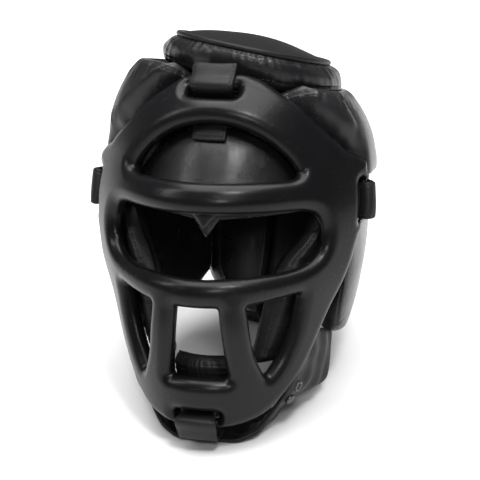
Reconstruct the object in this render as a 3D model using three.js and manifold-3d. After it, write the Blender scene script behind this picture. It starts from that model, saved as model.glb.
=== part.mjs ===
// A kickboxing head guard with a moulded face cage, standing on its chin and nape.
// Millimetres. Each piece is first made with the face upright and looking along -Y,
// z = 0 at the level of the cage's lower edge, and the whole guard then leans back to rest.
import * as THREE from 'three';
import { mergeVertices } from 'three/addons/utils/BufferGeometryUtils.js';
import Module from 'manifold-3d';

const wasm = await Module();
wasm.setup();

// Driving dimensions of the face cage
const cageHalfWidth = 122.5;
const cageReach = 123;
const cageHeight = 280;
const cageWall = 14;
const cageSweep = 66;

// Driving dimensions of the padded guard
const padHalfWidth = 99;
const padFront = 96;
const padRear = 145;
const crownRise = 12;
const crownHeight = cageHeight + crownRise;
const padThickness = 23;
const cheekThickness = 20;
const chinThickness = 16;
const foreheadThickness = 18;
const foreheadPuff = 8;
const foreheadPadLow = 179;
const foreheadPoint = 15;
const foreheadPadDrop = 12;
const cheekPuff = 9;
const chinPuff = 4;
const chinPadLow = 32;
const chinPadHigh = 64;
const headCentre = 19;

// The disc on top and how the crown tips back and to one side, in degrees
const discHalfWidth = 59;
const discHalfLength = 68;
const discThickness = 14;
const discDome = 8;
const discRoll = 2;
const discSeat = 1;
const bandUnder = 10;
const bandBulge = 15;
const crownTilt = 4.4;
const crownSkew = 10;
const crownShift = 4;

// Straps
const strapWidth = 34;
const strapThickness = 3;
const slotPlay = 3.2;
const chinTabWidth = 31;
const templeStrapWidth = 28;
const rearStrapWidth = 46;
const jawLeather = 3.5;
const topSlotDrop = 16;
const topSlotHeight = cageHeight - topSlotDrop;
const topSlotX = -4;
const topStrapTail = 26;
const chinSlotHeight = 24;
const chinSlotX = -2;
const chinTabTail = 17;
const templeAngle = 60.5;
const templeHeight = 183;
const templeBow = 3;
const rearStrapHeight = 140;

// Windows of the cage
const foreheadRadius = 79;
const foreheadTop = 248;
const foreheadBottom = 204.5;
const eyeTop = 181.5;
const eyeBottom = 132.5;
const eyeHalfWidth = 87;
const lowerTop = 111;
const lowerBottom = 54.5;
const centreTopHalfWidth = 18.3;
const centreBottomHalfWidth = 25;
const foreheadCorner = 8;
const eyeCorner = 14;
const windowCorner = 4;

// Where it rests: the chin and the nape behind it, measured from the head's centre line
const chinReach = 74;
const chinRise = -5;
const napeReach = 120;
const napeRise = 52;
const restFlat = 1.6;

// Clearances
const gap = 0.5;
const padClearance = 5;
const overflow = 24;
const edgeGap = 1;
const bandGap = 0.5;
const seatGap = 0.4;

const leatherBlack = { color: 0x101011, roughness: 0.32, metalness: 0 };
const cageGrey = { color: 0x2b2b2e, roughness: 0.4, metalness: 0 };
const discBlack = { color: 0x18181a, roughness: 0.7, metalness: 0 };

// Half width and forward reach of the cage's outer face at shares of its height.
// A point above 1 makes the plan more pointed than an ellipse.
const cageSections = [
  { at: -0.086, width: 0.356, reach: 0.492, point: 1.14 },
  { at: -0.017, width: 0.534, reach: 0.747, point: 1.22 },
  { at: 0.086, width: 0.66, reach: 0.886, point: 1.35 },
  { at: 0.223, width: 0.757, reach: 0.956, point: 1.52 },
  { at: 0.36, width: 0.845, reach: 1, point: 1.69 },
  { at: 0.497, width: 0.957, reach: 0.998, point: 1.86 },
  { at: 0.634, width: 1, reach: 0.957, point: 2.03 },
  { at: 0.771, width: 0.958, reach: 0.833, point: 2.2 },
  { at: 0.893, width: 0.866, reach: 0.675, point: 2.2 },
  { at: 1, width: 0.723, reach: 0.455, point: 2.2 },
  { at: 1.03, width: 0.683, reach: 0.393, point: 2.2 },
];

// Lower and upper edge of the cage, as shares of its height, at angles from the front
const cageEdges = [
  { at: 0, low: 0.05, high: 1.007 },
  { at: 12, low: 0.05, high: 1.003 },
  { at: 20, low: 0.054, high: 0.99 },
  { at: 28, low: 0.064, high: 0.96 },
  { at: 36, low: 0.085, high: 0.92 },
  { at: 43, low: 0.125, high: 0.873 },
  { at: 48, low: 0.165, high: 0.84 },
  { at: 51, low: 0.2, high: 0.822 },
  { at: 54, low: 0.27, high: 0.8 },
  { at: 57, low: 0.36, high: 0.79 },
  { at: 59, low: 0.43, high: 0.785 },
  { at: 61, low: 0.575, high: 0.78 },
  { at: 63, low: 0.6, high: 0.772 },
  { at: 66, low: 0.612, high: 0.762 },
];

// Shape of the padded guard between its lower end and the crown seam: height as a share
// of the crown's height, then half width, front and rear depth as shares of their sizes
const padSections = [
  { at: 0, rise: 0.15, width: 0.77, front: 0.85, rear: 0.68 },
  { at: 0.15, rise: 0.29, width: 0.89, front: 0.93, rear: 0.83 },
  { at: 0.3, rise: 0.43, width: 0.97, front: 0.98, rear: 0.95 },
  { at: 0.45, rise: 0.57, width: 1, front: 1, rear: 1 },
  { at: 0.6, rise: 0.7, width: 1.05, front: 0.87, rear: 1 },
  { at: 0.72, rise: 0.79, width: 1.01, front: 0.76, rear: 0.98 },
  { at: 0.82, rise: 0.86, width: 0.94, front: 0.64, rear: 0.94 },
  { at: 0.91, rise: 0.922, width: 0.83, front: 0.57, rear: 0.89 },
  { at: 1, rise: 0.962, width: 0.73, front: 0.5, rear: 0.81 },
];

// Corners of a lower side window, from its inner top round by its outside: how far out
// as a share of the eye opening's half width, how far up the window, and the roundness
const sideWindow = [
  { out: 0.4425, up: 1.009, round: 0.5 },
  { out: 0.833, up: 1.106, round: 0.75 },
  { out: 0.776, up: 0.6, round: 2.5 },
  { out: 0.678, up: 0.2, round: 2.25 },
  { out: 0.575, up: -0.018, round: 1 },
  { out: 0.5, up: 0.3, round: 2 },
];

// Where the chin tab is turned under, as shares of its width back from the cage and down
const chinTabTurns = [
  { back: 0.065, drop: 0.13 },
  { back: 0.29, drop: 0.195 },
  { back: 0.71, drop: 0.097 },
];

// Lower end of the side and rear pads at angles from the front, as shares of the
// crown's height: over the arch, down beside the cheek, under the ear, notch, nape
const sidePadEdges = [
  { at: 0, low: 0.925 },
  { at: 20, low: 0.905 },
  { at: 40, low: 0.85 },
  { at: 55, low: 0.78 },
  { at: 62, low: 0.69 },
  { at: 66, low: 0.64 },
  { at: 70, low: 0.55 },
  { at: 74, low: 0.42 },
  { at: 78, low: 0.29 },
  { at: 84, low: 0.25 },
  { at: 100, low: 0.235 },
  { at: 125, low: 0.25 },
  { at: 143, low: 0.32 },
];
const rearPadEdges = [
  { at: 143, low: 0.32 },
  { at: 152, low: 0.235 },
  { at: 165, low: 0.172 },
  { at: 180, low: 0.16 },
];

// Angles from the front at which the padded panels and the crown have their sections
const notchAngle = 143;
const sideTurns = [0, 12, 24, 36, 46, 54, 60, 65, 70, 74, 78, 84, 94, 106, 118, 131, notchAngle];
const rearTurns = [notchAngle, 150, 157, 164, 172, 180];
const halfTurns = [...sideTurns, ...rearTurns.slice(1)];
const ringTurns = [...halfTurns, ...halfTurns.slice(1, -1).reverse().map((turn) => 360 - turn)];

// The jaw strap from the middle of the chin up to the side pads: half width, height,
// front and rear edge as shares of their sizes
const jawHalfWidth = 62;
const jawRise = 70;
const jawReach = 93;
const jawSections = [
  { at: 0, width: 0, rise: -0.04, front: 1, rear: 0.5 },
  { at: 0.3, width: 0.34, rise: -0.03, front: 0.98, rear: 0.46 },
  { at: 0.55, width: 0.62, rise: 0.04, front: 0.9, rear: 0.36 },
  { at: 0.75, width: 0.82, rise: 0.26, front: 0.72, rear: 0.25 },
  { at: 0.9, width: 0.95, rise: 0.68, front: 0.5, rear: 0.12 },
  { at: 1, width: 1, rise: 1.24, front: 0.3, rear: 0 },
];
const leanBack = Math.atan2(napeRise - chinRise, napeReach + chinReach);

const rad = (degrees) => (degrees * Math.PI) / 180;
const clamp01 = (t) => Math.min(1, Math.max(0, t));
const smooth = (t) => clamp01(t) ** 2 * (3 - 2 * clamp01(t));
const mix = (a, b, t) => a + (b - a) * t;

// Smooth value of a table's column between its rows, level past its ends
function along(rows, column, at) {
  const last = rows.length - 1;
  if (at <= rows[0].at) return rows[0][column];
  if (at >= rows[last].at) return rows[last][column];
  let i = 0;
  while (rows[i + 1].at < at) i += 1;
  const slope = (k) => (rows[k + 1][column] - rows[k][column]) / (rows[k + 1].at - rows[k].at);
  const tangent = (k) => {
    if (k === 0) return slope(0);
    if (k === last) return slope(last - 1);
    const before = slope(k - 1);
    const after = slope(k);
    return before * after <= 0 ? 0 : (2 * before * after) / (before + after);
  };
  const span = rows[i + 1].at - rows[i].at;
  const t = (at - rows[i].at) / span;
  const h00 = (1 + 2 * t) * (1 - t) ** 2;
  const h10 = t * (1 - t) ** 2;
  const h01 = t * t * (3 - 2 * t);
  const h11 = t * t * (t - 1);
  return h00 * rows[i][column] + h10 * span * tangent(i) + h01 * rows[i + 1][column] + h11 * span * tangent(i + 1);
}

// A solid from a closed triangle mesh, with its faces turned outwards
function solidFrom(positions, triangles) {
  const at = (i) => new THREE.Vector3(positions[3 * i], positions[3 * i + 1], positions[3 * i + 2]);
  let volume = 0;
  for (let k = 0; k < triangles.length; k += 3) {
    volume += at(triangles[k]).dot(at(triangles[k + 1]).cross(at(triangles[k + 2])));
  }
  const triVerts = Uint32Array.from(triangles);
  if (volume < 0) {
    for (let k = 0; k < triVerts.length; k += 3) [triVerts[k], triVerts[k + 1]] = [triVerts[k + 1], triVerts[k]];
  }
  const vertProperties = Float32Array.from(positions);
  return new wasm.Manifold(new wasm.Mesh({ numProp: 3, vertProperties, triVerts }));
}

// A solid from a three.js geometry
function solidOf(geometry) {
  const bare = geometry.clone();
  bare.deleteAttribute('normal');
  bare.deleteAttribute('uv');
  const merged = mergeVertices(bare, 1e-3);
  const index = merged.index.array;
  const triangles = [];
  for (let k = 0; k < index.length; k += 3) {
    const [a, b, c] = index.slice(k, k + 3);
    if (a !== b && b !== c && c !== a) triangles.push(a, b, c);
  }
  return solidFrom(Array.from(merged.attributes.position.array), triangles);
}

// A closed slab between two surfaces, each a function of two values from 0 to 1
function slab(columns, rows, outer, inner) {
  const positions = [];
  const triangles = [];
  const width = columns.length;
  const height = rows.length;
  for (const side of [outer, inner]) {
    for (const v of rows) {
      for (const u of columns) positions.push(...side(u, v).toArray());
    }
  }
  const id = (side, i, j) => side * width * height + j * width + i;
  const quad = (a, b, c, d) => triangles.push(a, b, c, a, c, d);
  for (let j = 0; j < height - 1; j += 1) {
    for (let i = 0; i < width - 1; i += 1) {
      quad(id(0, i, j), id(0, i + 1, j), id(0, i + 1, j + 1), id(0, i, j + 1));
      quad(id(1, i, j), id(1, i, j + 1), id(1, i + 1, j + 1), id(1, i + 1, j));
    }
  }
  for (let i = 0; i < width - 1; i += 1) {
    quad(id(0, i, 0), id(1, i, 0), id(1, i + 1, 0), id(0, i + 1, 0));
    quad(id(0, i, height - 1), id(0, i + 1, height - 1), id(1, i + 1, height - 1), id(1, i, height - 1));
  }
  for (let j = 0; j < height - 1; j += 1) {
    quad(id(0, 0, j), id(0, 0, j + 1), id(1, 0, j + 1), id(1, 0, j));
    quad(id(0, width - 1, j), id(1, width - 1, j), id(1, width - 1, j + 1), id(0, width - 1, j + 1));
  }
  return solidFrom(positions, triangles);
}

const steps = (count) => Array.from({ length: count + 1 }, (_, i) => i / count);

// Outward direction of a surface at a pair of values
function facing(surface, u, v) {
  const d = 0.004;
  const du = surface(u + d, v).sub(surface(u - d, v));
  const dv = surface(u, v + d).sub(surface(u, v - d));
  return du.cross(dv).normalize();
}

// Face cage: outer face, at an angle from the front in degrees and a height
function cageFace(angle, z) {
  const h = z / cageHeight;
  const across = Math.sin(rad(angle));
  const ahead = Math.cos(rad(angle));
  const reach = cageReach * along(cageSections, 'reach', h);
  const point = along(cageSections, 'point', h);
  return new THREE.Vector3(
    cageHalfWidth * along(cageSections, 'width', h) * across,
    headCentre - reach * Math.sign(ahead) * Math.abs(ahead) ** point,
    z,
  );
}

const cageOutward = (angle, z) => facing((u, v) => cageFace(angle + 100 * u, z + 1000 * v), 0, 0);
const cageInset = (angle, z, depth) => cageFace(angle, z).addScaledVector(cageOutward(angle, z), -depth);
const cageLow = (angle) => cageHeight * along(cageEdges, 'low', Math.abs(angle));
const cageHigh = (angle) => cageHeight * along(cageEdges, 'high', Math.abs(angle));

// Outline with rounded corners, in width and height; each corner is [x, z, radius]
function roundedShape(corners) {
  const shape = new THREE.Shape();
  corners.forEach(([x, z, radius], i) => {
    const here = new THREE.Vector2(x, z);
    const [px, pz] = corners[(i + corners.length - 1) % corners.length];
    const [nx, nz] = corners[(i + 1) % corners.length];
    const towards = (x2, z2) => {
      const way = new THREE.Vector2(x2, z2).sub(here);
      return way.setLength(Math.min(radius, 0.48 * way.length())).add(here);
    };
    const before = towards(px, pz);
    const after = towards(nx, nz);
    if (i === 0) shape.moveTo(before.x, before.y);
    else shape.lineTo(before.x, before.y);
    shape.quadraticCurveTo(x, z, after.x, after.y);
  });
  shape.closePath();
  return shape;
}

// A straight cut along Y with an outline in width and height
function frontCut(shape, curveSegments) {
  const depth = 2 * cageReach;
  const geometry = new THREE.ExtrudeGeometry(shape, { depth, bevelEnabled: false, curveSegments });
  geometry.rotateX(Math.PI / 2);
  geometry.translate(0, headCentre * 0.9, 0);
  return solidOf(geometry);
}

function boxAt(width, depth, height, x, y, z, turn = 0, tip = 0) {
  const geometry = new THREE.BoxGeometry(width, depth, height);
  geometry.rotateX(tip);
  geometry.rotateZ(turn);
  geometry.translate(x, y, z);
  return solidOf(geometry);
}

function foreheadShape() {
  const shape = new THREE.Shape();
  const centre = foreheadTop - foreheadRadius;
  const cornerZ = foreheadBottom + 0.625 * foreheadCorner;
  const reach = Math.asin((cornerZ - centre) / foreheadRadius);
  const side = foreheadRadius * Math.cos(reach);
  const past = side + foreheadCorner / 8;
  shape.moveTo(-side + foreheadCorner, foreheadBottom);
  shape.lineTo(side - foreheadCorner, foreheadBottom);
  shape.quadraticCurveTo(past, foreheadBottom, side, cornerZ);
  shape.absarc(0, centre, foreheadRadius, reach, Math.PI - reach, false);
  shape.quadraticCurveTo(-past, foreheadBottom, -side + foreheadCorner, foreheadBottom);
  return shape;
}

function eyeShape() {
  const corner = (out, up, round) => [eyeHalfWidth * out, mix(eyeBottom, eyeTop, up), eyeCorner * round];
  return roundedShape([
    corner(-0.93, 1, 1),
    corner(0.93, 1, 1),
    corner(1.01, 0.66, 0.93),
    corner(0.985, 0.28, 0.64),
    corner(0.83, 0.05, 1.14),
    corner(0, -0.01, 1.43),
    corner(-0.83, 0.05, 1.14),
    corner(-0.985, 0.28, 0.64),
    corner(-1.01, 0.66, 0.93),
  ]);
}

function centreShape() {
  return roundedShape([
    [-centreTopHalfWidth, lowerTop, windowCorner * 0.75],
    [centreTopHalfWidth, lowerTop, windowCorner * 0.75],
    [centreBottomHalfWidth, lowerBottom, windowCorner],
    [-centreBottomHalfWidth, lowerBottom, windowCorner],
  ]);
}

function sideShape(side) {
  return roundedShape(
    sideWindow.map(({ out, up, round }) => [
      side * eyeHalfWidth * out,
      mix(lowerBottom, lowerTop, up),
      windowCorner * round,
    ]),
  );
}

// The cage's shell without its windows, between two depths below its outer face and
// with its outline moved out by a margin
function cageShell(from, to, margin) {
  const angles = [0, 6, 12, 18, 24, 30, 36, 42, 47, 51, 54, 57, 59, 61, 63, cageSweep];
  const turns = [...angles.slice(1).reverse().map((a) => -a), ...angles];
  const side = (depth) => (u, v) => {
    const inner = Math.abs(u) - (2 * margin) / rad(cageHalfWidth);
    const z = mix(cageLow(inner) - margin, cageHigh(inner) + margin, v);
    return cageInset(u * (1 + (2 * margin) / cageHalfWidth), z, depth);
  };
  return slab(turns, steps(13), side(from), side(to));
}

function faceCage() {
  let cage = cageShell(0, cageWall, 0);
  const cuts = [foreheadShape(), eyeShape(), centreShape(), sideShape(1), sideShape(-1)];
  for (const shape of cuts) cage = cage.subtract(frontCut(shape, 5));
  const slotTall = strapThickness + 2 * slotPlay;
  const through = 3 * cageWall;
  const slots = [
    { x: topSlotX, z: topSlotHeight, wide: strapWidth },
    { x: chinSlotX, z: chinSlotHeight, wide: chinTabWidth },
  ];
  for (const { x, z, wide } of slots) {
    const out = cageOutward(0, z);
    const { y, z: height } = cageInset(0, z, cageWall / 2);
    const tip = Math.atan2(-out.z, -out.y);
    cage = cage.subtract(boxAt(wide + 2 * slotPlay, through, slotTall, x, y, height, 0, tip));
  }
  for (const hand of [-1, 1]) {
    const place = cageInset(hand * templeAngle, templeHeight, cageWall / 2);
    const out = cageOutward(hand * templeAngle, templeHeight);
    const turn = Math.atan2(out.y, out.x);
    cage = cage.subtract(
      boxAt(through, slotTall, templeStrapWidth + 2 * slotPlay, place.x, place.y, place.z, turn),
    );
  }
  return cage;
}

// How far the crown tips: raises the front and one side near the top
const crownShare = (rise) => smooth((rise / crownHeight - 0.62) / 0.36);
function crownTip(x, y, rise) {
  const middle = headCentre + (padRear - padFront) / 2;
  return -crownShare(rise) * (Math.tan(rad(crownTilt)) * (y - middle) + Math.tan(rad(crownSkew)) * x);
}

// The cage's own angle at a straight bearing from the head's centre line
function cageTurn(bearing) {
  const slant = Math.tan(rad(Math.min(Math.abs(bearing), 89)));
  if (slant === 0) return 0;
  const across = (Math.sqrt(1 + 4 * slant * slant) - 1) / (2 * slant);
  return (Math.sign(bearing) * Math.asin(across) * 180) / Math.PI;
}

// 1 where the cage covers a place, falling to 0 a little way outside its edge
function cageCover(angle, z) {
  const turn = Math.abs(angle);
  const beside = (turn - cageSweep) * rad(1) * cageHalfWidth;
  const outside = Math.max(z - cageHigh(turn), cageLow(turn) - z, beside);
  return 1 - smooth(outside / overflow - 0.083);
}

// Padded guard: outer face at an angle from the front in degrees and a share of the way
// up to the crown seam. It follows the inside of the cage and bulges out past its edge.
function padFace(angle, t) {
  const rise = crownHeight * along(padSections, 'rise', t);
  const across = Math.sin(rad(angle));
  const ahead = Math.cos(rad(angle));
  const x = padHalfWidth * along(padSections, 'width', t) * across;
  const depth = ahead > 0 ? padFront * along(padSections, 'front', t) : padRear * along(padSections, 'rear', t);
  const y = headCentre - depth * ahead;
  const free = new THREE.Vector3(x + crownShift * crownShare(rise), y, rise + crownTip(x, y, rise));
  const turn = cageTurn(angle);
  const cover = Math.abs(angle) < 90 ? cageCover(turn, free.z) : 0;
  if (cover === 0) return free;
  return free.lerp(cageInset(turn, free.z, cageWall + padClearance), cover);
}

const padInset = (angle, t, depth) => {
  const out = facing((u, v) => padFace(angle + 250 * u, t + v), 0, 0);
  return padFace(angle, t).addScaledVector(out, -depth);
};

// Share of the way up at which the padded guard reaches a height share
function shareAtRise(rise) {
  let low = 0;
  let high = 1;
  for (let k = 0; k < 20; k += 1) {
    const middle = (low + high) / 2;
    if (along(padSections, 'rise', middle) < rise) low = middle;
    else high = middle;
  }
  return low;
}

// The guard's padding thins towards the crown seam
const padDepth = (t) => padThickness * (1 - 0.7 * smooth((t - 0.7) / 0.3));

// How full a pad stands between its seams, from its rim share at an edge to 1
const crown = (t, rim) => rim + (1 - rim) * (1 - Math.abs(2 * clamp01(t) - 1) ** 3);

// The panels stop a little below the crown seam
const panelTop = 0.99;

// A panel of the padded guard between two angles, from a lower edge to the crown seam
function guardPanel(from, to, edges, columns, rows, hand) {
  const place = (u, v) => {
    const angle = mix(from, to, u);
    const low = shareAtRise(along(edges, 'low', angle));
    return [hand * angle, mix(low, panelTop, v), clamp01(3 * (panelTop - low))];
  };
  const side = (full, rim) => (u, v) => {
    const [angle, t, tall] = place(u, v);
    const puff = crown(u, rim) * crown(v, rim);
    return padInset(angle, t, full * (1 - puff) * tall);
  };
  const inner = (u, v) => {
    const [angle, t] = place(u, v);
    return padInset(angle, t, padDepth(t));
  };
  return slab(columns, rows, side(padThickness * 0.42, 0.4), inner);
}

const shares = (turns) => turns.map((turn) => (turn - turns[0]) / (turns[turns.length - 1] - turns[0]));

function sidePad(hand) {
  const seam = gap * 0.5;
  return guardPanel(seam * 0.6, notchAngle - seam * 0.5, sidePadEdges, shares(sideTurns), steps(12), hand);
}

function rearPad(hand) {
  const seam = gap * 0.5;
  return guardPanel(notchAngle + seam * 0.5, 180 - seam * 0.5, rearPadEdges, shares(rearTurns), steps(12), hand);
}

// Forehead pad: behind the arch and its window, with a small point at its lower middle
function foreheadPad() {
  const sweep = 47;
  const front = (u) => mix(-sweep, sweep, u);
  const heights = (u, v) => {
    const angle = front(u);
    const low = foreheadPadLow - foreheadPoint * Math.max(0, 1 - Math.abs(angle) / 8);
    const high = crownHeight * along(sidePadEdges, 'low', Math.abs(angle) * 1.35) - foreheadPadDrop;
    return mix(low, high, v);
  };
  const side = (depth) => (u, v) => cageInset(front(u), heights(u, v), cageWall + strapThickness + 2 * seatGap + depth);
  const puffed = (u, v) => side(foreheadPuff * (1 - crown(u, 0.2) * crown(v, 0.2)))(u, v);
  return slab(steps(16), steps(8), puffed, side(foreheadThickness + strapThickness));
}

// Cheek pads: behind the cage beside the eye opening and the lower windows
const cheekEdges = [
  { at: 0.2, front: 30, rear: 47 },
  { at: 0.28, front: 27, rear: 51 },
  { at: 0.38, front: 27, rear: 54 },
  { at: 0.45, front: 30, rear: 56.5 },
  { at: 0.5, front: 37, rear: 56.5 },
  { at: 0.55, front: 43, rear: 55 },
  { at: 0.6, front: 46, rear: 52.5 },
  { at: 0.63, front: 47, rear: 51 },
];
function cheekPad(hand) {
  const low = cageHeight * 0.2;
  const high = cageHeight * 0.63;
  const side = (depth) => (u, v) => {
    const z = mix(low, high, v);
    const angle = mix(along(cheekEdges, 'front', z / cageHeight), along(cheekEdges, 'rear', z / cageHeight), u);
    return cageInset(hand * angle, z, cageWall + seatGap + depth);
  };
  const puffed = (u, v) => side(cheekPuff * (1 - crown(u, 0.1) * crown(v, 0.3)))(u, v);
  return slab(steps(8), steps(14), puffed, side(cheekThickness));
}

// Chin pad: a short padded cup behind the chin panel
function chinPad() {
  const sweep = 26;
  const side = (depth) => (u, v) => {
    const angle = mix(-sweep, sweep, u);
    const z = mix(chinPadLow, chinPadHigh, v);
    return cageInset(angle, z, cageWall + strapThickness + 3 * seatGap + depth);
  };
  const puffed = (u, v) => side(chinPuff * (1 - crown(u, 0.4) * crown(v, 0.2)))(u, v);
  return slab(steps(14), steps(6), puffed, side(chinThickness));
}

// Crown band: the gathered ring between the crown seam and the disc
function discPoint(angle, share, lift) {
  const x = crownShift + discHalfWidth * share * Math.sin(rad(angle));
  const middle = headCentre + (padRear - padFront) / 2;
  const y = middle - discHalfLength * share * Math.cos(rad(angle));
  return new THREE.Vector3(x, y, crownHeight + lift + crownTip(x, y, crownHeight));
}

// The band's section at one angle: a full outer curve from the crown seam up to the
// disc, then back down its inner side, all of it fuller by a margin
function bandSection(angle, margin, inward) {
  const turn = angle > 180 ? angle - 360 : angle;
  const climb = padFace(turn, 1).sub(padFace(turn, 0.98)).normalize();
  const seam = padInset(turn, 1, padThickness * 0.25 - margin).addScaledVector(climb, edgeGap - margin);
  const under = padInset(turn, 1, padDepth(1) + margin).addScaledVector(climb, edgeGap + inward);
  const rim = discPoint(angle, 1, discSeat + margin);
  const inside = discPoint(angle, 1 - margin / discHalfWidth, -bandUnder - margin);
  const out = padFace(turn, 1).sub(padInset(turn, 1, 1)).add(climb).setLength(bandBulge + 2 * margin);
  const middle = seam.clone().add(rim).multiplyScalar(0.5).add(out);
  const curve = new THREE.QuadraticBezierCurve3(seam, middle, rim);
  return [...curve.getPoints(5), inside, under];
}

function crownBand(margin, inward) {
  const sections = ringTurns.map((angle) => bandSection(angle, margin, inward));
  const count = sections.length;
  const profile = sections[0].length;
  const positions = sections.flat().flatMap((p) => p.toArray());
  const triangles = [];
  const id = (i, j) => (i % count) * profile + (j % profile);
  for (let i = 0; i < count; i += 1) {
    for (let j = 0; j < profile; j += 1) {
      triangles.push(id(i, j), id(i + 1, j), id(i + 1, j + 1), id(i, j), id(i + 1, j + 1), id(i, j + 1));
    }
  }
  return solidFrom(positions, triangles);
}

function topPad() {
  const rings = [0.999, 0.95, 0.8, 0.55, 0.25];
  const count = ringTurns.length;
  const positions = [];
  const triangles = [];
  const ring = (share, lift) => {
    for (const turn of ringTurns) positions.push(...discPoint(turn, share, lift).toArray());
  };
  const underside = discSeat - discThickness * 0.6;
  const fit = 1 - seatGap / discHalfWidth;
  for (const share of rings) ring(share * fit, discSeat + discDome * (1 - share ** 2) + (share < 0.99 ? discRoll : 0));
  const bottom = [...rings].reverse();
  for (const share of bottom) ring(share * fit, underside);
  const total = 2 * rings.length;
  for (let k = 0; k < total; k += 1) {
    const a = k * count;
    const b = ((k + 1) % total) * count;
    if (k === rings.length - 1 || k === total - 1) continue;
    for (let i = 0; i < count; i += 1) {
      const n = (i + 1) % count;
      triangles.push(a + i, a + n, b + n, a + i, b + n, b + i);
    }
  }
  const cap = (k, lift) => {
    const centre = positions.length / 3;
    positions.push(...discPoint(0, 0, lift).toArray());
    for (let i = 0; i < count; i += 1) {
      const n = (i + 1) % count;
      if (k < rings.length) triangles.push(k * count + i, k * count + n, centre);
      else triangles.push(k * count + n, k * count + i, centre);
    }
  };
  cap(rings.length - 1, discSeat + discDome + discRoll);
  cap(rings.length, underside);
  for (let i = 0; i < count; i += 1) {
    const n = (i + 1) % count;
    const a = (total - 1) * count;
    triangles.push(a + i, a + n, n, a + i, n, i);
  }
  return solidFrom(positions, triangles);
}

// A strap of even thickness: its path is given at a share of the way across it
function ribbon(pathAt, thickness) {
  const across = [0, 0.5, 1];
  const lines = across.map((v) => new THREE.CatmullRomCurve3(pathAt(v), false, 'centripetal'));
  const count = 3 * (lines[0].points.length - 1);
  const rows = lines.map((line) => steps(count).map((t) => line.getPoint(t)));
  const side = (sign) => (u, v) => {
    const i = Math.round(u * count);
    const j = across.indexOf(v);
    const ahead = rows[j][Math.min(i + 1, count)].clone().sub(rows[j][Math.max(i - 1, 0)]);
    const beside = rows[Math.min(j + 1, 2)][i].clone().sub(rows[Math.max(j - 1, 0)][i]);
    return rows[j][i].clone().addScaledVector(ahead.cross(beside).normalize(), (sign * thickness) / 2);
  };
  return slab(steps(count), across, side(1), side(-1));
}

const strapLift = strapThickness / 2 + 2 * seatGap;
const strapBend = strapThickness / 2;
const strapEase = strapThickness / 6;

// A point below the cage's outer face, straight ahead of a place across it
function cageUnder(x, z, depth) {
  const half = cageHalfWidth * along(cageSections, 'width', z / cageHeight);
  return cageInset((Math.asin(x / half) * 180) / Math.PI, z, depth);
}

// Top tab: from the crown seam over the arch's edge, in through its slot, and down
// behind the arch on to the forehead pad
function topTabStrap() {
  const behind = cageWall + strapLift;
  return ribbon((v) => {
    const x = topSlotX + strapWidth * (v - 0.5);
    const under = (z, depth) => cageUnder(x, z, depth);
    const angle = (Math.asin(x / padHalfWidth) * 180) / Math.PI;
    const edge = cageHigh(0);
    const start = padInset(angle, 0.985, -strapLift);
    const over = under(edge + 2 * strapEase, -strapLift - strapEase);
    return [
      start,
      start.clone().lerp(over, 0.5),
      over,
      under((edge + topSlotHeight) / 2, -strapLift),
      under(topSlotHeight + strapBend, -strapLift - strapEase),
      under(topSlotHeight, cageWall * 0.25),
      under(topSlotHeight, cageWall * 0.75),
      under(topSlotHeight - strapBend, behind + strapEase),
      under(topSlotHeight - topStrapTail * 0.4, behind),
      under(topSlotHeight - topStrapTail, behind),
    ];
  }, strapThickness);
}

// Chin tab: out through the chin panel's slot, round its lower edge and back under it
function chinTabStrap() {
  const low = cageLow(0);
  const behind = cageWall + strapLift;
  return ribbon((v) => {
    const x = chinSlotX + chinTabWidth * (v - 0.5);
    const under = (z, depth) => cageUnder(x, z, depth);
    const bottom = cageUnder(x, low, 0);
    const turned = ({ back, drop }) =>
      new THREE.Vector3(bottom.x, bottom.y + chinTabWidth * back, low - chinTabWidth * drop - strapLift);
    return [
      under(chinSlotHeight + chinTabTail, behind),
      under(chinSlotHeight + chinTabTail * 0.47, behind),
      under(chinSlotHeight + strapBend, behind + strapEase),
      under(chinSlotHeight, cageWall * 0.75),
      under(chinSlotHeight, cageWall * 0.25),
      under(chinSlotHeight - strapBend, -strapLift - strapEase),
      under(low + 4 * strapEase, -strapLift),
      ...chinTabTurns.map(turned),
    ];
  }, strapThickness);
}

// Temple strap: out through the cage's slot, back round its rear edge and along the pad
function templeStrap(hand) {
  return ribbon((v) => {
    const z = templeHeight + templeStrapWidth * (v - 0.5);
    const at = (turn, depth) => cageInset(hand * turn, z, depth);
    const share = shareAtRise(z / crownHeight);
    return [
      at(templeAngle, cageWall * 0.6),
      at(templeAngle + 0.6, -strapLift),
      at(templeAngle + 3, -strapLift - strapEase),
      at(cageSweep, -strapLift - strapEase),
      padInset(hand * 89, share, -strapLift - templeBow),
      padInset(hand * 96, share, -strapLift),
      padInset(hand * 104, share, -strapLift),
      padInset(hand * 112, share, -strapLift),
    ];
  }, strapThickness);
}

// Rear strap: the hook-and-loop closure across the rear pads
function rearStrap() {
  return ribbon((v) => {
    const share = shareAtRise((rearStrapHeight + rearStrapWidth * (v - 0.5)) / crownHeight);
    const turns = [-32, -24, -16, -8, 0, 8, 16, 24, 32];
    return turns.map((turn) => {
      return padInset(turn < 0 ? 180 + turn : turn - 180, share, -strapLift);
    });
  }, strapThickness);
}

// Jaw strap: the wide leather sling under the chin, from one side pad to the other
function jawPoint(s, w) {
  const at = Math.abs(s);
  const x = Math.sign(s) * jawHalfWidth * along(jawSections, 'width', at);
  const z = jawRise * along(jawSections, 'rise', at);
  const front = -jawReach * along(jawSections, 'front', at);
  const rear = -jawReach * along(jawSections, 'rear', at);
  const y = mix(front, rear, w);
  const slope = Math.tan(leanBack) * (1 - smooth(at));
  return new THREE.Vector3(x, headCentre + y, z + (y + jawReach) * slope);
}

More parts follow.
